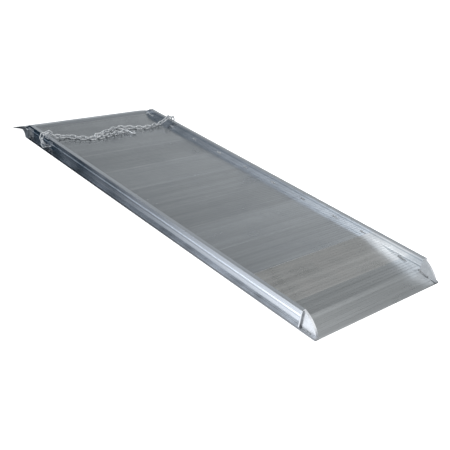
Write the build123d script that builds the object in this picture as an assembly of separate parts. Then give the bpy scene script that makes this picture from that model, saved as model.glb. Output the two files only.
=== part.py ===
from build123d import *
from math import asin, atan, cos, degrees, hypot, radians, sin
import os

# Aluminium walk ramp with an overlap lip and two safety chains, in millimetres.
# +X runs from the dock end to the toe, +Z is up and z = 0 is the underside of the side rails.
# Lengths along the ramp are measured from the dock face of the lip's leg (station 0).

# Overall
ramp_width = 711.2
ramp_length = 1828.8
lip_reach = 125.0
half_width = ramp_width / 2
origin_station = (ramp_length - lip_reach) / 2

# Side rails: C-channels with the web inwards
rail_height = 71.0
rail_web = 5.0
rail_flange = 19.0
rail_top_thickness = 6.0
rail_foot_thickness = 8.0
rail_bead = 4.0
rail_bead_drop = 2.5
rail_rib = 3.0
rail_rib_height = 4.0
rail_rib_z = 39.5
rail_start = 25.0
rail_end = 1751.0
nose_low_z = 49.0
nose_length = 33.5
half_clear = half_width - rail_flange
web_outer = half_clear + rail_web

# Deck: planks laid across the ramp and welded between the webs
deck_z = 45.0
plank_count = 8
plank_pitch = 182.0
plank_gap = 0.3
plank_skin = 4.0
plank_depth = 30.0
approach_depth = 22.0
plank_wall = 3.0
plank_foot = 9.0
plank_webs = 2
plank_chamfer = 0.3
groove_pitch = 13.0
groove_width = 1.4
groove_depth = 0.6
deck_side_gap = 0.1

# Approach plank and toe plank, which slope down to the ground
approach_start = rail_start + plank_count * plank_pitch
toe_start = approach_start + plank_pitch
toe_bend = 1737.0
toe_bend_z = 21.0
toe_edge_z = 3.0
toe_skin = 5.0
approach_drop = (deck_z - toe_bend_z) / (toe_bend - approach_start)
toe_start_z = deck_z - approach_drop * (toe_start - approach_start)

# Overlap lip: a full-width extrusion with a hollow leg
knee_station = -4.0
knee_z = 47.0
leg_wall = 4.0
leg_cavity_top = 38.0
leg_plug = 4.0

# Toe cheeks and channel end plates
cheek_thickness = 10.0
end_plate = 5.0
weld_gap = 0.1

# Safety chains, 3/16 in proof coil
wire = 5.5
link_inside = 24.1
link_inside_width = 10.2
link_gap = 0.6
link_pitch = link_inside - link_gap
link_bend = (link_inside_width + wire) / 2
fixed_links = 4
crossing_end = 6
staple_bar = wire
staple_span = 24.0
staple_z = 19.0
staple_reach = 11.0
staple_station = {"left": 166.0, "right": 188.0}

# Route of a chain up from the staple and over the rail's top flange: upright and flat
# links alternate, and each bend is about the centre of a flat link's wire
climb_rises = (125.0, 105.0, 72.0, 12.0, -38.0, -30.0, -10.5)
climb_end_swing = {"left": 7.0, "right": 8.0}
climb_upright = link_inside - wire - 2 * link_gap
climb_flat = link_inside + wire
wire_to_contact = (wire + link_gap) / 2

# Route over the deck: the links lean alternately 45 degrees each way and stand up at the hook
deck_rises = (-0.9, -0.2, -1.4, -0.6) + 7 * (0.0,) + (2.0, 2.0, 1.8, 0.0)
deck_rolls = (-15, 60) + 4 * (-45, 45) + (-45, 45, -60, 15, -90)
deck_swings = {
    "left": (16, 25, 34, 36, 30, 21, 9, 0, -5, -9, -11, -11, -9, -5, -1),
    "right": (13, 13, 6, 0, -7, -17, -26, -27, -18, -6, 5, 16, 22, 22, 18),
}

# S-hooks
hook_bar = 6.5
hook_eye_bend = 8.25
hook_throat_bend = 9.5
hook_centres = 34.0
hook_eye_end = 330.0
hook_throat_end = 100.0
hook_tilt = -7.0
hook_swing = {"left": 46.0, "right": 3.0}
hook_step = 2 * hook_eye_bend - hook_bar - wire - 2 * link_gap

sides = {"left": -1, "right": 1}


def save(name, shape):
    """Write one node, moved so that the ramp's mid length is at the origin."""
    export_step(Pos(-origin_station, 0, 0) * shape, f"parts/{name}.step")


def across(station, z, slope=0.0, reach=half_clear):
    """Plane for a section that is extruded across the ramp; its x runs along the deck."""
    along = (cos(radians(slope)), 0, -sin(radians(slope)))
    return Plane(origin=(station, reach, z), x_dir=along, z_dir=(0, -1, 0))


def extrude_across(section, station, z, slope=0.0, reach=half_clear):
    """Extrude a section over the whole width between -reach and +reach."""
    return extrude(across(station, z, slope, reach) * section, amount=2 * reach, dir=(0, -1, 0))


def tread_grooves(first, last):
    """Row of shallow grooves that the plank extrusion carries in its top face."""
    count = int((last - first) / groove_pitch)
    start = (first + last - (count - 1) * groove_pitch) / 2
    cutter = Rectangle(groove_width, 2 * groove_depth)
    return [Pos(start + i * groove_pitch, 0) * cutter for i in range(count)]


def plank_section(length, depth=plank_depth, lean=0.0):
    """Inverted channel with footed side walls, inner webs and a grooved top skin.

    Lean is the drop per length of a sloping plank, which sets its first wall back."""
    left = plank_gap / 2
    right = length - plank_gap / 2
    mid = length / 2
    section = Polygon(
        (left + lean * plank_skin, -plank_skin),
        (right, -plank_skin),
        (right, -plank_chamfer),
        (right - plank_chamfer, 0),
        (left + plank_chamfer, 0),
        (left, -plank_chamfer),
        align=None,
    )
    wall = Rectangle(plank_wall, depth - plank_skin)
    wall_z = -(plank_skin + depth) / 2
    foot = Rectangle(plank_foot, plank_wall)
    foot_z = plank_wall / 2 - depth
    for edge, turn in ((left + lean * depth, 1), (right, -1)):
        section += Pos(edge + turn * plank_wall / 2, wall_z) * wall
        section += Pos(edge + turn * plank_foot / 2, foot_z) * foot
    for i in range(plank_webs):
        offset = (i - (plank_webs - 1) / 2) * length / (plank_webs + 1)
        section += Pos(mid + offset, wall_z) * wall
    for groove in tread_grooves(left + plank_chamfer, right - plank_chamfer):
        section -= groove
    return section


def toe_section():
    """Toe extrusion: approach slope, a bend, then a wedge that feathers to the ground."""
    along_bend = toe_bend - toe_start
    along_edge = ramp_length - toe_start
    top_bend = toe_bend_z
    section = Polygon(
        (plank_gap / 2, 0),
        (plank_foot, 0),
        (plank_foot, plank_wall),
        (plank_wall + plank_gap / 2, plank_wall),
        (plank_wall + plank_gap / 2, toe_start_z - toe_skin),
        (along_bend, top_bend - toe_skin),
        (along_edge - 34.0, 4.4),
        (along_edge - 34.0, 0),
        (along_edge, 0),
        (along_edge, 0.8),
        (along_edge - 4.0, toe_edge_z),
        (along_bend, top_bend),
        (plank_gap / 2, toe_start_z),
        align=None,
    )
    bend_leg = Rectangle(plank_wall, top_bend - 2.0)
    section += Pos(along_bend, top_bend / 2 - 1.0) * bend_leg
    approach_run = hypot(along_bend, toe_start_z - top_bend)
    approach_tilt = degrees(atan((toe_start_z - top_bend) / along_bend))
    for groove in tread_grooves(0, approach_run):
        section -= Pos(0, toe_start_z) * Rot(0, 0, -approach_tilt) * groove
    edge_run = hypot(along_edge - 4.0 - along_bend, top_bend - toe_edge_z)
    edge_tilt = degrees(atan((top_bend - toe_edge_z) / (along_edge - 4.0 - along_bend)))
    for groove in tread_grooves(0, edge_run - 8.0):
        section -= Pos(along_bend, top_bend) * Rot(0, 0, -edge_tilt) * groove
    return section


def lip_section():
    """Overlap lip: hollow leg behind the dock face and a tapering arm over the dock."""
    knee = (knee_station, knee_z)
    shoulder = (-38.0, 38.5)
    heel = (-29.0, 28.5)
    outline = [
        Line((0, 0), (rail_start, 0)),
        Line((rail_start, 0), (rail_start, deck_z)),
        Line((rail_start, deck_z), knee),
        ThreePointArc(knee, (-21.0, 44.2), shoulder),
        ThreePointArc(shoulder, (-80.0, 22.6), (-lip_reach, 1.6)),
        Line((-lip_reach, 1.6), (-lip_reach, 0)),
        ThreePointArc((-lip_reach, 0), (-77.0, 16.5), heel),
        ThreePointArc(heel, (-9.0, 17.5), (0, 0)),
    ]
    section = make_face(Curve() + outline)
    cavity_width = rail_start - 2 * leg_wall
    cavity_height = leg_cavity_top - leg_wall
    cavity = Rectangle(cavity_width, cavity_height)
    return section - Pos(rail_start / 2, leg_wall + cavity_height / 2) * cavity


def side_rail():
    """Right-hand rail, with its nose cut down to the lip and its foot run on to the toe."""
    web = Pos(half_clear + rail_web / 2, rail_height / 2) * Rectangle(rail_web, rail_height)
    mid_flange = half_clear + rail_flange / 2
    top_z = rail_height - rail_top_thickness / 2
    top = Pos(mid_flange, top_z) * Rectangle(rail_flange, rail_top_thickness)
    bead_height = rail_top_thickness + rail_bead_drop
    bead = Pos(half_width - rail_bead / 2, rail_height - bead_height / 2) * Rectangle(rail_bead, bead_height)
    foot = Pos(mid_flange, rail_foot_thickness / 2) * Rectangle(rail_flange, rail_foot_thickness)
    rib = Pos(web_outer + rail_rib / 2, rail_rib_z) * Rectangle(rail_rib, rail_rib_height)
    section = Plane.YZ.offset(rail_start) * (web + top + bead + foot + rib)
    channel = extrude(section, amount=rail_end - rail_start)

    profile = Plane(origin=(0, half_width, 0), z_dir=(0, -1, 0), x_dir=(1, 0, 0))
    rise = (rail_height - nose_low_z) / nose_length
    cut = Polygon(
        (rail_start, nose_low_z + rise * rail_start),
        (nose_length, rail_height),
        (nose_length, rail_height + 1),
        (rail_start, rail_height + 1),
        align=None,
    )
    channel -= extrude(profile * cut, rail_flange)

    knee_rise = (knee_z - deck_z) / (rail_start - knee_station)
    nose = Polygon(
        (0, deck_z + knee_rise * rail_start),
        (rail_start, deck_z),
        (rail_start, nose_low_z + rise * rail_start),
        (0, nose_low_z),
        align=None,
    )
    channel += extrude(profile * nose, rail_flange)

    toe_foot_length = ramp_length - rail_end
    toe_foot = Box(toe_foot_length, rail_flange, rail_foot_thickness, align=(Align.MIN, Align.MIN, Align.MIN))
    toe_corner = toe_foot.edges().filter_by(Axis.Y).group_by(Axis.X)[-1].sort_by(Axis.Z)[-1]
    toe_foot = chamfer(toe_corner, 5.0)
    channel += Pos(rail_end, half_clear, 0) * toe_foot
    return channel


def toe_cheek():
    """Right-hand quarter-round cheek on the rail's foot, in line with the web."""
    inner = rail_end + weld_gap
    outline = [
        Line((inner, rail_foot_thickness), (inner, rail_height)),
        ThreePointArc((inner, rail_height), (inner + 44.0, 46.0), (ramp_length - 4.0, rail_foot_thickness)),
        Line((ramp_length - 4.0, rail_foot_thickness), (inner, rail_foot_thickness)),
    ]
    plane = Plane(origin=(0, half_clear + cheek_thickness, 0), z_dir=(0, -1, 0), x_dir=(1, 0, 0))
    return extrude(plane * make_face(Curve() + outline), cheek_thickness)


def channel_end_plate():
    """Right-hand plate that closes the rail's channel beside the cheek."""
    inner = half_clear + cheek_thickness + weld_gap
    size = (end_plate, half_width - inner, rail_height - rail_foot_thickness)
    plate = Box(*size, align=(Align.MIN, Align.MIN, Align.MIN))
    return Pos(rail_end, inner, rail_foot_thickness) * plate


def lip_plug():
    """Right-hand plug that closes the end of the leg's cavity."""
    width = rail_start - 2 * leg_wall - 2 * weld_gap
    height = leg_cavity_top - leg_wall - 2 * weld_gap
    plug = Box(width, leg_plug, height, align=(Align.CENTER, Align.MAX, Align.MIN))
    return Pos(rail_start / 2, half_width, leg_wall + weld_gap) * plug


def staple(station):
    """Right-hand round-bar staple on the outside of the web that holds the chain's end link."""
    start = station - staple_span / 2
    end = station + staple_span / 2
    crown = web_outer + staple_reach
    path = FilletPolyline(
        (start, web_outer, staple_z),
        (start, crown, staple_z),
        (end, crown, staple_z),
        (end, web_outer, staple_z),
        radius=staple_bar,
    )
    ring = Plane(origin=(start, web_outer, staple_z), z_dir=(0, 1, 0)) * Circle(staple_bar / 2)
    return sweep(ring, path=path)


def chain_link():
    """Stadium-shaped link in the XY plane, long along X."""
    straight = link_inside - link_inside_width
    side = Cylinder(wire / 2, straight, rotation=(0, 90, 0))
    bend_circle = Pos(straight / 2, link_bend) * (Plane.YZ * Circle(wire / 2))
    bend_axis = Axis((straight / 2, 0, 0), (0, 0, -1))
    bend = revolve(bend_circle, axis=bend_axis, revolution_arc=180)
    link = Pos(0, link_bend) * side + Pos(0, -link_bend) * side
    return link + bend + Rot(0, 0, 180) * bend


def s_hook():
    """S-hook in the XY plane: a closed eye round the origin and an open throat along +X."""
    turn = 90 - degrees(asin((hook_eye_bend + hook_throat_bend) / hook_centres))
    eye_point = (hook_eye_bend * cos(radians(turn)), hook_eye_bend * sin(radians(turn)))
    throat_point = (
        hook_centres - hook_throat_bend * cos(radians(turn)),
        -hook_throat_bend * sin(radians(turn)),
    )
    eye = CenterArc((0, 0), hook_eye_bend, hook_eye_end, turn - hook_eye_end)
    shank = Line(eye_point, throat_point)
    throat_sweep = 360 + hook_throat_end - (180 + turn)
    throat = CenterArc((hook_centres, 0), hook_throat_bend, 180 + turn, throat_sweep)
    path = Wire([eye.edge(), shank.edge(), throat.edge()])
    start = path.position_at(0)
    ring = Plane(origin=start, z_dir=path.tangent_at(0)) * Circle(hook_bar / 2)
    ball = Sphere(hook_bar / 2)
    return sweep(ring, path=path) + Pos(*start) * ball + Pos(*path.position_at(1)) * ball


class ChainRun:
    """Lays links end to end from a start point, each with its own heading and roll.

    Rise is the heading's angle above the deck, swing its angle from straight across the
    ramp towards the toe, and roll turns the link about its own length (0 lies flat)."""

    def __init__(self, side, station, reach, z):
        self.side = side
        self.tip = Vector(station, side * reach, z)
        self.along = Vector(0, 0, 1)

    def place(self, rise, swing, roll, length):
        rise, swing, roll = radians(rise), radians(swing), radians(roll)
        self.along = Vector(cos(rise) * sin(swing), -self.side * cos(rise) * cos(swing), sin(rise))
        level = Vector(0, 0, 1).cross(self.along).normalized()
        normal = self.along.cross(level) * cos(roll) + level * sin(roll)
        middle = self.tip + self.along * (length / 2)
        self.tip += self.along * length
        return Plane(origin=middle, x_dir=self.along, z_dir=normal)

    def step(self, distance):
        self.tip += self.along * distance


def chain_planes(name):
    """Planes of the links from the staple to the hook, then the plane of the hook."""
    run = ChainRun(sides[name], staple_station[name], web_outer + staple_reach, staple_z)
    planes = []
    for i, rise in enumerate(climb_rises):
        upright = i % 2 == 0
        swing = climb_end_swing[name] if i == len(climb_rises) - 1 else 0
        roll = 90 if upright else 0
        planes.append(run.place(rise, swing, roll, climb_upright if upright else climb_flat))
    run.step(wire_to_contact)
    for rise, swing, roll in zip(deck_rises, deck_swings[name], deck_rolls):
        planes.append(run.place(rise, swing, roll, link_pitch))
    run.step(wire_to_contact)
    planes.append(run.place(hook_tilt, hook_swing[name], 0, hook_step))
    return planes


os.makedirs("parts", exist_ok=True)

deck_reach = half_clear - deck_side_gap
plank = extrude_across(plank_section(plank_pitch), 0, deck_z, reach=deck_reach)
for i in range(plank_count):
    save(f"deck_plank_{i + 1}", Pos(rail_start + i * plank_pitch, 0, 0) * plank)

approach_slope = degrees(atan(approach_drop))
approach_length = plank_pitch / cos(radians(approach_slope))
approach = plank_section(approach_length, approach_depth, approach_drop)
save("approach_plank", extrude_across(approach, approach_start, deck_z, approach_slope, deck_reach))
save("toe_plank", extrude_across(toe_section(), toe_start, 0, reach=deck_reach))

save("dock_lip", extrude_across(lip_section(), 0, 0, reach=half_width))

link = chain_link()
hook = s_hook()
rail = side_rail()
for name, side in sides.items():
    handed = {
        "side_rail": rail,
        "toe_cheek": toe_cheek(),
        "channel_end_plate": channel_end_plate(),
        "lip_plug": lip_plug(),
        "chain_staple": staple(staple_station[name]),
    }
    for part, shape in handed.items():
        save(f"{name}_{part}", shape if side > 0 else mirror(shape, Plane.XZ))
    planes = chain_planes(name)
    links = [plane.location * link for plane in planes[:-1]]
    save(f"{name}_rail_links", Compound(links[:fixed_links]))
    save(f"{name}_crossing_links", Compound(links[fixed_links:crossing_end]))
    for i, placed in enumerate(links[crossing_end:]):
        save(f"{name}_link_{i + 1:02d}", placed)
    save(f"{name}_hook", planes[-1].location * hook)
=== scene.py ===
from math import cos, pi, radians, sin
import random

import bmesh
import bpy
from mathutils import Matrix, Vector


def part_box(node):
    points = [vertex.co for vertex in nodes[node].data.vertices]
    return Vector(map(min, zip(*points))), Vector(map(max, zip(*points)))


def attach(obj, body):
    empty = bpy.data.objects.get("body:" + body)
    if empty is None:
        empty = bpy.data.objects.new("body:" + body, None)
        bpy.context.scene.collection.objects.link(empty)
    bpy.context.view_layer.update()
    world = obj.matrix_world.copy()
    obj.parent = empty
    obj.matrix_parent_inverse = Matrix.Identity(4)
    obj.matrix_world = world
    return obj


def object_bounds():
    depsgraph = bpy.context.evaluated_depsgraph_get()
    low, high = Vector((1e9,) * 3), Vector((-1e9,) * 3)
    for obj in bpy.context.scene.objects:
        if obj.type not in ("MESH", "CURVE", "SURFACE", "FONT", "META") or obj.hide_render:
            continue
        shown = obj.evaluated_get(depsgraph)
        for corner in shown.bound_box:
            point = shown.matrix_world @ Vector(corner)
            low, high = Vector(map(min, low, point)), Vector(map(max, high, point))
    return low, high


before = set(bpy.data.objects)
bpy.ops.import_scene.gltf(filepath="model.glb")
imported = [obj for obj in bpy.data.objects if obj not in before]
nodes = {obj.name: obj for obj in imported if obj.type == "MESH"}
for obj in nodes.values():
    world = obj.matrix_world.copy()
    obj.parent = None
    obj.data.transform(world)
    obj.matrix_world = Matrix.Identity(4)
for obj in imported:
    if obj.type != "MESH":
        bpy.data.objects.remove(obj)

cad_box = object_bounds()
scene = bpy.context.scene

SIDES = {"left": -1, "right": 1}
UP = (0, 0, 1)

# Places read from the frame, in metres
deck_low, deck_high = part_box("deck_plank_1")
lip_low, lip_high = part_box("dock_lip")
rail_low, rail_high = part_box("right_side_rail")
cheek_low, cheek_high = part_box("right_toe_cheek")
deck_top = deck_high[2]
plank_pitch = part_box("deck_plank_2")[0][0] - deck_low[0]
plank_count = sum(name.startswith("deck_plank_") for name in nodes)
rail_inner = rail_low[1]
rail_outer = rail_high[1]
foot_top = cheek_low[2]

# Sizes of the sections, in metres
lip_reach = 0.125
web_thickness = 0.005
flange_thickness = 0.006

# Heights of the painted shade and the painted highlight on the side rails, in metres above the ground
# painted shade on the rails' foot fades out between these heights
foot_shade_fade = (0.007, 0.010)
# painted shade on the rails' top fades in between these heights
top_shade_start = (0.067, 0.069)
# painted shade in bands on the web: under the top flange, under the rib and low above the foot
web_shade_bands = ((0.0335, 0.0375, 0.42), (0.0575, 0.0625, 0.40), (0.0130, 0.0150, 0.30))    # low, high, depth
# painted highlight along the rib of the web
rib_highlight = (0.0405, 0.0425)

# Weld beads, in metres
ripple_pitch = 0.0022
rings_per_ripple = 5
swell_cell = 0.006
root_depth = 0.0006
off_web = 0.0002
deck_bead_length = 0.028
deck_bead_offset = 0.014
deck_bead_radius = 0.0040

# Camera: at the photograph's viewing angle
camera_azimuth = 43.452
camera_elevation = 26.736
camera_roll = 9.526
camera_distance = 2.9576
camera_target = (0.2475, -0.0814, 0.0)
camera_lens = 59.196
sensor_width = 36.0


# ---------------------------------------------------------------- node helpers

class Nodes:
    """A node tree with short calls for the nodes that the finishes and the surroundings share."""

    def __init__(self, tree):
        self.tree = tree

    def node(self, kind, **values):
        made = self.tree.nodes.new(kind)
        for key, value in values.items():
            setattr(made, key, value)
        return made

    def link(self, source, target):
        self.tree.links.new(source, target)

    def split(self, vector):
        """The X, Y and Z outputs of a vector."""
        made = self.node("ShaderNodeSeparateXYZ")
        self.link(vector, made.inputs["Vector"])
        return made.outputs

    def spread(self, value, low, high, out_low, out_high, smooth=False):
        """Maps low..high to out_low..out_high and clamps."""
        span = self.node("ShaderNodeMapRange")
        if smooth:
            span.interpolation_type = "SMOOTHSTEP"
        self.link(value, span.inputs["Value"])
        for key, number in zip(("From Min", "From Max", "To Min", "To Max"), (low, high, out_low, out_high)):
            span.inputs[key].default_value = number
        return span.outputs["Result"]

    def step(self, value, low, high):
        """0 below low, 1 above high, smooth between."""
        return self.spread(value, low, high, 0, 1, True)

    def within(self, value, low, high, fade=0.001):
        """1 from low to high, falling to 0 over the fade on each side."""
        return self.math("MULTIPLY", self.spread(value, low - fade, low, 0, 1),
                         self.spread(value, high, high + fade, 1, 0))

    def math(self, operation, first, second):
        made = self.node("ShaderNodeMath", operation=operation)
        for socket, value in zip(made.inputs, (first, second)):
            if isinstance(value, (int, float)):
                socket.default_value = value
            else:
                self.link(value, socket)
        return made.outputs["Value"]

    def tint(self, factor, first, second):
        """Mixes two colours, each a tuple or a colour socket."""
        mix = self.node("ShaderNodeMix", data_type="RGBA")
        self.link(factor, mix.inputs["Factor"])
        for socket, value in ((mix.inputs["A"], first), (mix.inputs["B"], second)):
            if isinstance(value, tuple):
                socket.default_value = (*value, 1)
            else:
                self.link(value, socket)
        return mix.outputs["Result"]


class Shader(Nodes):
    """A new material, with its base values set and its textures in object coordinates."""

    def __init__(self, name, base, metallic, roughness):
        self.material = bpy.data.materials.new(name)
        self.material.use_nodes = True
        super().__init__(self.material.node_tree)
        self.surface = self.tree.nodes["Principled BSDF"]
        self.surface.inputs["Base Color"].default_value = (*base, 1)
        self.surface.inputs["Metallic"].default_value = metallic
        self.surface.inputs["Roughness"].default_value = roughness
        self.place = self.node("ShaderNodeTexCoord").outputs["Object"]

    def along(self, axis):
        """The object coordinate on one axis, in metres."""
        return self.split(self.place)[axis]

    def stretched(self, scale, offset):
        """Object coordinates scaled per axis, in cells per metre."""
        mapping = self.node("ShaderNodeMapping")
        self.link(self.place, mapping.inputs["Vector"])
        mapping.inputs["Scale"].default_value = scale
        mapping.inputs["Location"].default_value = offset
        return mapping.outputs["Vector"]

    def noise(self, scale, detail=2.0, offset=(0, 0, 0), roughness=0.5, distortion=0.0):
        texture = self.node("ShaderNodeTexNoise")
        self.link(self.stretched(scale, offset), texture.inputs["Vector"])
        texture.inputs["Scale"].default_value = 1.0
        texture.inputs["Detail"].default_value = detail
        texture.inputs["Roughness"].default_value = roughness
        texture.inputs["Distortion"].default_value = distortion
        return texture.outputs["Fac"]

    def bump(self, height, strength, distance, after=None):
        made = self.node("ShaderNodeBump")
        made.inputs["Strength"].default_value = strength
        made.inputs["Distance"].default_value = distance
        self.link(height, made.inputs["Height"])
        if after is not None:
            self.link(after, made.inputs["Normal"])
        return made.outputs["Normal"]

    def finish(self, colour, rough, normal):
        """Feeds the surface's colour, roughness and normal."""
        self.link(colour, self.surface.inputs["Base Color"])
        self.link(rough, self.surface.inputs["Roughness"])
        self.link(normal, self.surface.inputs["Normal"])
        return self.material


def shaded(colour, factor):
    return tuple(channel * factor for channel in colour)


# ---------------------------------------------------------------- metals

def rail_painted_light(shader, colour, base, smudge, foot, top):
    """Painted light along a rail by height: painted shade on the foot, on the top and in dark bands
    on the web, and a painted highlight along the rib of the web."""
    web_shade_colour = (0.11, 0.16, 0.20)
    rib_highlight_colour = (0.93, 0.95, 0.98)
    height = shader.math("ADD", shader.along("Z"), shader.spread(smudge, 0.3, 0.7, -0.001, 0.001))
    # painted shade: the foot darkened towards a fifth of the base colour
    colour = shader.tint(shader.spread(height, *foot_shade_fade, foot, 0), colour, shaded(base, 0.22))
    # painted shade: the top darkened towards half the base colour
    colour = shader.tint(shader.spread(height, *top_shade_start, 0, top), colour, shaded(base, 0.50))
    # painted shade: dark blue bands along the web
    for low, high, depth in web_shade_bands:
        band = shader.math("MULTIPLY", shader.within(height, low, high), depth)
        colour = shader.tint(band, colour, web_shade_colour)
    # painted highlight: a near-white line along the rib
    return shader.tint(shader.within(height, *rib_highlight), colour, rib_highlight_colour)


def lip_end_shade(shader, colour, base, tip):
    """Painted shade on the lip's sawn ends, blackest where it reaches furthest."""
    end_y = lip_high[1]
    sawn = shader.math("ABSOLUTE", shader.along("Y"), 0.0)
    sawn = shader.spread(sawn, end_y - 0.002, end_y - 0.001, 0, 1)
    # painted shade: the sawn ends darkened
    colour = shader.tint(shader.math("MULTIPLY", sawn, 0.5), colour, shaded(base, 0.25))
    # painted shade: blackening on the sawn ends that grows towards the lip's tip
    tip_shade = shader.spread(shader.along("X"), lip_low[0] + 0.04, lip_low[0] + 0.115, tip, 0, True)
    return shader.tint(shader.math("MULTIPLY", tip_shade, sawn), colour, shaded(base, 0.03))


def drawn_metal(name, base, roughness, along, seed, streak=0.10, grime=0.18, fine=0.35,
                warm=0.0, foot=0.0, top=0.0, tip=0.0):
    """Mill-finish extrusion: die lines along one axis, broad streaks, smudges and fine scratches.

    Streak, grime and fine are how strong the streaks, the smudges and the die lines' relief are,
    and warm is how brown the smudges are. Foot and top are how strong the painted shade on a rail's
    foot and on its top is. Tip is how dark the painted shade on the lip's sawn ends grows towards its tip."""
    shader = Shader(name, base, 1.0, roughness)
    shift = (seed * 3.17, seed * 1.31, seed * 0.77)

    def lines(across, length):
        """Cells per metre across the drawing direction and along it."""
        return tuple(length if axis == along else across for axis in "XYZ")

    die = shader.noise(lines(900, 4), 3.0, shift, 0.65)
    band = shader.noise(lines(42, 0.7), 3.0, shift, 0.6)
    broad = shader.noise(lines(9, 0.9), 2.0, shift)
    smudge = shader.noise((7, 7, 7), 4.0, shift, 0.6, 0.4)
    speck = shader.noise((420, 420, 420), 2.0, shift)
    scratch = shader.noise(lines(260, 9), 1.0, shift, 0.5, 0.25)

    dark = shaded(base, 1 - streak)
    light = shaded(base, 1 + streak)
    haze = (base[0] * (0.86 + warm), base[1] * 0.87, base[2] * (0.90 - warm))
    colour = shader.tint(shader.spread(band, 0.32, 0.68, 0, 1), dark, light)
    colour = shader.tint(shader.spread(smudge, 0.45, 0.72, 0, grime * 3), colour, haze)
    colour = shader.tint(shader.spread(broad, 0.35, 0.65, 0, 0.5), colour, shaded(base, 1 - streak * 0.9))
    colour = shader.tint(shader.spread(die, 0.30, 0.42, 0.35, 0), colour, shaded(base, 0.72))
    colour = shader.tint(shader.spread(speck, 0.66, 0.74, 0, 0.12), colour, shaded(base, 0.6))
    # painted shade and a painted highlight on the rails
    if foot or top:
        colour = rail_painted_light(shader, colour, base, smudge, foot, top)
    # painted shade on the lip's sawn ends
    if tip:
        colour = lip_end_shade(shader, colour, base, tip)

    rough = shader.spread(smudge, 0.3, 0.75, roughness - 0.05, roughness + grime * 0.6)
    rough = shader.math("ADD", rough, shader.spread(band, 0.3, 0.7, -0.03, 0.04))

    normal = shader.bump(die, fine, 0.0004)
    normal = shader.bump(shader.spread(scratch, 0.70, 0.80, 0, -1), 0.04, 0.0002, normal)
    normal = shader.bump(band, 0.05, 0.0010, normal)
    return shader.finish(colour, rough, normal)


def sawn_plate(name, base, roughness, seed):
    """Cut and deburred plate: short crossing sanding marks and a mottled surface."""
    shader = Shader(name, base, 1.0, roughness)
    shift = (seed * 2.3, seed, seed * 1.9)
    mottle = shader.noise((60, 60, 60), 4.0, shift, 0.6)
    sanding = shader.noise((1100, 900, 60), 2.0, shift, 0.6, 0.6)
    colour = shader.tint(shader.spread(mottle, 0.3, 0.7, 0, 1), shaded(base, 0.84), shaded(base, 1.08))
    rough = shader.spread(mottle, 0.3, 0.7, roughness - 0.06, roughness + 0.1)
    return shader.finish(colour, rough, shader.bump(sanding, 0.3, 0.0004))


def zinc_plate(name, base, roughness, seed):
    """Bright zinc plate on bent wire: mottled shine, worn spots and slight hammering."""
    shader = Shader(name, base, 1.0, roughness)
    shift = (seed, seed * 2.1, seed * 0.4)
    mottle = shader.noise((160, 160, 160), 4.0, shift, 0.6)
    pit = shader.noise((900, 900, 900), 2.0, shift)
    tarnish = shader.noise((45, 45, 45), 3.0, shift, 0.55, 0.3)
    dull = (base[0] * 0.66, base[1] * 0.66, base[2] * 0.69)
    colour = shader.tint(shader.spread(mottle, 0.35, 0.65, 0, 1), shaded(base, 0.86), shaded(base, 1.06))
    colour = shader.tint(shader.spread(tarnish, 0.58, 0.75, 0, 0.55), colour, dull)
    colour = shader.tint(shader.spread(pit, 0.66, 0.72, 0, 0.5), colour, shaded(base, 0.5))
    rough = shader.spread(mottle, 0.3, 0.7, roughness - 0.06, roughness + 0.14)
    normal = shader.bump(pit, 0.25, 0.0003)
    return shader.finish(colour, rough, shader.bump(mottle, 0.3, 0.0008, normal))


def weld_metal(name):
    """Bright as-welded aluminium with grainy smut between the ripples."""
    bright = (0.56, 0.57, 0.58)
    sooty = (0.22, 0.23, 0.24)
    shader = Shader(name, bright, 1.0, 0.38)
    grain = shader.noise((700, 700, 700), 3.0)
    smut = shader.noise((130, 130, 130), 3.0, (4, 1, 2), 0.6, 0.3)
    colour = shader.tint(shader.spread(smut, 0.52, 0.70, 0, 0.7), bright, sooty)
    rough = shader.spread(smut, 0.4, 0.7, 0.2, 0.5)
    return shader.finish(colour, rough, shader.bump(grain, 0.35, 0.0005))


# ---------------------------------------------------------------- finishes on the CAD nodes

def paint(names, material):
    for name in names:
        for slot in nodes[name].material_slots:
            slot.material = material


def soften_edges(names, width):
    """Broken arrises: a small bevel on the sharp edges."""
    for name in names:
        bevel = nodes[name].modifiers.new("arris", "BEVEL")
        bevel.width = width
        bevel.segments = 2
        bevel.limit_method = "ANGLE"
        bevel.angle_limit = radians(50)


plank_base = (0.525, 0.54, 0.55)
plank_tones = (0.93, 1.0, 0.96, 1.05, 0.98, 0.95, 1.04, 0.97)
# painted shade on the right rail's top only
rail_top_shade = {"left": 0.0, "right": 0.55}

for i in range(plank_count):
    tone = shaded(plank_base, plank_tones[i % len(plank_tones)])
    paint([f"deck_plank_{i + 1}"], drawn_metal(f"deck_{i + 1}", tone, 0.18, "Y", i + 1, fine=0.20))
paint(["approach_plank"], drawn_metal("approach_metal", (0.53, 0.525, 0.51), 0.30, "Y", 21, warm=0.03))
paint(["toe_plank"], drawn_metal("toe_metal", (0.42, 0.43, 0.43), 0.30, "Y", 22, streak=0.16, warm=0.01))
# tip sets the painted shade on the lip's sawn ends
paint(["dock_lip"], drawn_metal("lip_metal_painted_shade", (0.52, 0.54, 0.56), 0.34, "Y", 23, tip=0.9))
paint([f"{side}_lip_plug" for side in SIDES], drawn_metal("plug_metal", (0.26, 0.28, 0.30), 0.45, "Y", 24))

for index, side in enumerate(SIDES):
    # foot and top set the painted shade on each rail's foot and top
    metal = drawn_metal(f"{side}_rail_metal_painted_light", (0.74, 0.76, 0.79), 0.20, "X", 31 + index,
                        streak=0.07, grime=0.10, fine=0.20, foot=0.85, top=rail_top_shade[side])
    paint([f"{side}_side_rail"], metal)

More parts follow.
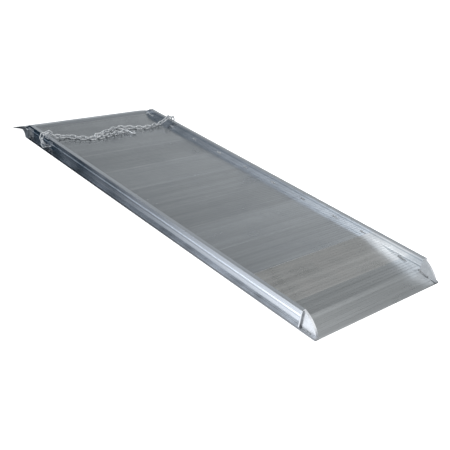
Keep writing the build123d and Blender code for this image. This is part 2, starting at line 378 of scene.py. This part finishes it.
plates = [f"{side}_{part}" for side in SIDES for part in ("toe_cheek", "channel_end_plate")]
paint(plates, sawn_plate("plate_metal", (0.78, 0.79, 0.81), 0.32, 5))
links = [name for name in nodes if "link" in name or "staple" in name]
paint(links, zinc_plate("chain_zinc", (0.84, 0.85, 0.86), 0.26, 3))
paint([f"{side}_hook" for side in SIDES], zinc_plate("hook_zinc", (0.90, 0.91, 0.92), 0.18, 9))

soften_edges([f"{side}_side_rail" for side in SIDES], 0.0007)
soften_edges(plates, 0.0008)


# ---------------------------------------------------------------- weld beads

bead_metal = weld_metal("weld_bead")


def bead_rows(mesh, start, end, radius, floor_normal, wall_normal, seed):
    """Rings of vertices along a bead: overlapping ripples that swell and wander a little, with
    rounded ends. Each ring is a flattened quarter round and one vertex at the root."""
    around = 9
    fewest_rings = 12
    most_drift = 0.12
    ripple_depth = 0.20
    cap_length = radius * 1.2
    smallest_tip = 0.04
    flattening = 0.22
    rng = random.Random(seed)
    length = (end - start).length
    rings = max(fewest_rings, int(length / (ripple_pitch / rings_per_ripple)))
    phase = rng.random()
    cells = int(length / swell_cell) + 3
    swell = [rng.uniform(0.68, 1.22) for _ in range(cells)]
    drift = [rng.uniform(-most_drift, most_drift) * radius for _ in range(cells)]
    rows = []
    for i in range(rings + 1):
        t = i / rings
        run = t * length
        cell = int(run / swell_cell)
        part = run / swell_cell - cell
        grow = swell[cell] + (swell[cell + 1] - swell[cell]) * part
        wander = drift[cell] + (drift[cell + 1] - drift[cell]) * part
        wave = (run / ripple_pitch + phase) % 1.0
        scallop = 1 - ripple_depth + ripple_depth * sin(pi * wave) ** 0.6
        edge = min(run, length - run) / cap_length
        cap = 1.0 if edge >= 1 else max(smallest_tip, (1 - (1 - edge) ** 2) ** 0.5)
        size = radius * grow * scallop * cap
        middle = start.lerp(end, t) + (wall_normal - floor_normal) * wander
        row = []
        for j in range(around):
            angle = (pi / 2) * (j / (around - 1))
            bulge = 1.0 - flattening * sin(2 * angle)
            point = middle + (wall_normal * cos(angle) + floor_normal * sin(angle)) * size * bulge
            row.append(mesh.verts.new(point))
        row.append(mesh.verts.new(middle - (wall_normal + floor_normal) * root_depth))
        rows.append(row)
    return rows


def bead(name, ends, radius, floor_normal, wall_normal, seed):
    """A weld bead between two ends, in the corner between a floor and a wall."""
    start, end = Vector(ends[0]), Vector(ends[1])
    floor_normal = Vector(floor_normal).normalized()
    wall_normal = Vector(wall_normal).normalized()
    mesh = bmesh.new()
    rows = bead_rows(mesh, start, end, radius, floor_normal, wall_normal, seed)
    count = len(rows[0])
    for near, far in zip(rows, rows[1:]):
        for j in range(count):
            k = (j + 1) % count
            mesh.faces.new((near[j], near[k], far[k], far[j]))
    mesh.faces.new(rows[0])
    mesh.faces.new(reversed(rows[-1]))
    bmesh.ops.recalc_face_normals(mesh, faces=mesh.faces)
    data = bpy.data.meshes.new(name)
    mesh.to_mesh(data)
    mesh.free()
    for face in data.polygons:
        face.use_smooth = True
    data.materials.append(bead_metal)
    piece = bpy.data.objects.new(name, data)
    scene.collection.objects.link(piece)
    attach(piece, "ramp")


def station(millimetres):
    """Row x of a length measured from the dock face of the lip's leg."""
    return lip_low[0] + lip_reach + millimetres / 1000


def butt(outward, along):
    """The two directions that make a bead stand up from a seam in a flat face."""
    outward, along = Vector(outward), Vector(along)
    return (outward + along).normalized(), (outward - along).normalized()


def deck_welds(side, sign):
    """Stitch beads between the deck planks and a rail: one just past each seam, and the last one
    just before the deck's end."""
    y = sign * (rail_inner - off_web)
    for i in range(plank_count + 1):
        jitter = random.Random(100 * i + sign).uniform(-0.003, 0.005)
        middle_x = deck_low[0] + i * plank_pitch + deck_bead_offset + jitter
        if i == plank_count:
            middle_x -= 2 * deck_bead_offset
        half = deck_bead_length / 2
        ends = ((middle_x - half, y, deck_top), (middle_x + half, y, deck_top))
        bead(f"{side}_deck_weld_{i + 1}", ends, deck_bead_radius, UP, (0, -sign, 0), 10 * i + sign + 5)


def end_welds(side, sign, seed):
    """The lip to the rail's nose and leg, the sloping planks to the rail and the cheek, and the
    cheek and the end plate to the rail's foot."""
    inner = sign * (rail_inner - off_web)
    outer = sign * rail_outer
    web = sign * (rail_inner + web_thickness)
    cheek = sign * cheek_high[1]
    flange_under = rail_high[2] - flange_thickness
    inward, outward, toeward = (0, -sign, 0), (0, sign, 0), (1, 0, 0)
    leg = station(25.0)
    plate = station(1756)
    stitch = (
        ("nose_weld", (station(3), inner, 0.0466), (station(24), inner, 0.0452), 0.0045, UP, inward),
        ("lip_seam_weld", (station(3), outer, 0.0466), (station(23), outer, 0.0452), 0.0034,
         *butt(outward, UP)),
        ("curb_weld", (station(27), inner, deck_top), (station(68), inner, deck_top), 0.0042, UP, inward),
        ("leg_foot_weld", (leg, web + sign * 0.001, foot_top), (leg, web + sign * 0.012, foot_top), 0.0052,
         UP, toeward),
        ("leg_top_weld", (leg, web + sign * 0.001, flange_under), (leg, web + sign * 0.009, flange_under),
         0.0055, (0, 0, -1), toeward),
        ("leg_web_weld", (leg, web, 0.016), (leg, web, 0.052), 0.0026, outward, toeward),
        ("approach_weld", (station(1644), inner, 0.0297), (station(1684), inner, 0.0259), 0.0052, UP, inward),
        ("toe_weld", (station(1744), inner, 0.0195), (station(1792), inner, 0.0103), 0.0050, UP, inward),
        ("cheek_weld", (station(1762), cheek, foot_top), (station(1802), cheek, foot_top), 0.0034,
         UP, outward),
        ("plate_weld", (plate, cheek + sign * 0.001, foot_top), (plate, outer - sign * 0.001, foot_top),
         0.0030, UP, toeward),
    )
    for index, (name, start, end, radius, floor_way, wall_way) in enumerate(stitch):
        bead(f"{side}_{name}", (start, end), radius, floor_way, wall_way, seed + 7 * index)


def staple_welds(side, sign, seed):
    """A bead above and below each foot of the staple, on the rail's web."""
    half = 0.004
    radius = 0.0024
    outward = (0, sign, 0)
    web = sign * (rail_inner + web_thickness)
    low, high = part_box(f"{side}_chain_staple")
    bar = (high[2] - low[2]) / 2
    height = (high[2] + low[2]) / 2
    for index, x in enumerate((low[0] + bar, high[0] - bar)):
        for way in (-1, 1):
            z = height + way * bar
            number = 2 * index + (way + 3) // 2
            ends = ((x - half, web, z), (x + half, web, z))
            bead(f"{side}_staple_weld_{number}", ends, radius, outward, (0, 0, way), seed + 2 * index + way)


for side, sign in SIDES.items():
    deck_welds(side, sign)
for side, sign in SIDES.items():
    end_welds(side, sign, 200 + sign)
    staple_welds(side, sign, 290 + sign)


# ---------------------------------------------------------------- stage, light and camera

def stage_mesh(name, points, faces, material):
    """A piece of the stage at floor level, left out of the metal's reflections."""
    data = bpy.data.meshes.new(name)
    data.from_pydata(points, [], faces)
    data.materials.append(material)
    made = bpy.data.objects.new(name, data)
    scene.collection.objects.link(made)
    made.location.z = cad_box[0][2] - 0.0005
    made.visible_glossy = False
    return made


def floor_and_backdrop():
    """A pale floor and four far walls. The walls cast no light or shadow on the object."""
    size = 12.0
    corners = ((-size, -size), (size, -size), (size, size), (-size, size))
    paper = Shader("floor_paint", (0.93, 0.93, 0.93), 0.0, 0.9)
    paper.surface.inputs["Emission Color"].default_value = (1, 1, 1, 1)
    paper.surface.inputs["Emission Strength"].default_value = 0.85
    stage_mesh("floor", [(x, y, 0) for x, y in corners], [(0, 1, 2, 3)], paper.material)

    wall_points = [(x, y, z) for z in (0, size) for x, y in corners]
    wall_faces = [(i, (i + 1) % 4, (i + 1) % 4 + 4, i + 4) for i in range(4)]
    backdrop = stage_mesh("backdrop", wall_points, wall_faces, paper.material)
    backdrop.visible_diffuse = False
    backdrop.visible_shadow = False


def surroundings():
    """What the bare metal mirrors, by direction. Towards the dock end there is, on the left, shade
    that brightens into a wall and a window, and on the right a wall that darkens upwards. Above
    and towards the toe there is an even dome."""
    low_shade, low_wall, low_window = (0.004, 0.018, 0.034), (0.78, 0.83, 0.90), (1.90, 1.96, 2.04)
    high_shade, high_wall, high_window = (0.04, 0.07, 0.10), (1.00, 1.07, 1.16), (2.5, 2.6, 2.7)
    right_top, right_foot = (0.20, 0.215, 0.228), (0.66, 0.69, 0.71)
    right_slope = (0.64, 0.0, -1.36)
    dome_foot, dome_top, toe_end = (0.60, 0.62, 0.64), (0.40, 0.42, 0.44), (0.30, 0.32, 0.34)

    world = bpy.data.worlds.new("studio")
    scene.world = world
    world.use_nodes = True
    sky = Nodes(world.node_tree)
    direction = sky.node("ShaderNodeTexCoord").outputs["Generated"]
    split = sky.split(direction)
    x, y, z = split["X"], split["Y"], split["Z"]

    low_left = sky.tint(sky.step(x, -0.76, -0.56), low_shade, low_wall)
    low_left = sky.tint(sky.step(x, -0.52, -0.38), low_left, low_window)
    high_left = sky.tint(sky.step(x, -0.78, -0.54), high_shade, high_wall)
    high_left = sky.tint(sky.step(x, -0.56, -0.40), high_left, high_window)
    left = sky.tint(sky.step(z, -0.15, 0.2), low_left, high_left)

    slope = sky.node("ShaderNodeVectorMath", operation="DOT_PRODUCT")
    sky.link(direction, slope.inputs[0])
    slope.inputs[1].default_value = right_slope
    right = sky.tint(sky.spread(slope.outputs["Value"], -1.15, -0.80, 0, 1), right_top, right_foot)
    dock_end = sky.tint(sky.step(y, -0.15, 0.15), left, right)

    dome = sky.tint(sky.step(z, 0.0, 0.9), dome_foot, dome_top)
    dome = sky.tint(sky.step(x, 0.1, 0.9), dome, toe_end)
    low_sky = sky.tint(sky.step(x, -0.20, 0.0), dock_end, dome)
    colour = sky.tint(sky.step(z, 0.64, 0.82), low_sky, dome)

    background = world.node_tree.nodes["Background"]
    sky.link(colour, background.inputs["Color"])
    background.inputs["Strength"].default_value = 1.0


def soft_box(name, place, size, power):
    """A square area light in metres and watts, aimed at the middle of the object."""
    light = bpy.data.lights.new(name, "AREA")
    light.size = size
    light.energy = power
    lamp = bpy.data.objects.new(name, light)
    scene.collection.objects.link(lamp)
    lamp.location = place
    lamp.rotation_euler = (-Vector(place)).to_track_quat("-Z", "Y").to_euler()


def photo_camera():
    azimuth, elevation, roll = (radians(a) for a in (camera_azimuth, camera_elevation, camera_roll))
    back = Vector((sin(azimuth) * cos(elevation), -cos(azimuth) * cos(elevation), sin(elevation)))
    level = Vector((cos(azimuth), sin(azimuth), 0))
    upward = back.cross(level)
    right = level * cos(roll) + upward * sin(roll)
    top = upward * cos(roll) - level * sin(roll)
    data = bpy.data.cameras.new("camera")
    data.sensor_width = sensor_width
    data.lens = camera_lens
    data.clip_end = 50.0
    camera = bpy.data.objects.new("camera", data)
    scene.collection.objects.link(camera)
    turn = Matrix((right, top, back)).transposed().to_4x4()
    camera.matrix_world = Matrix.Translation(Vector(camera_target) + back * camera_distance) @ turn
    scene.camera = camera


floor_and_backdrop()
surroundings()
soft_box("overhead", (0.4, 0.3, 2.6), 3.4, 22.0)
soft_box("side", (2.4, 1.6, 1.6), 1.8, 10.0)
photo_camera()
scene.view_settings.view_transform = "Standard"
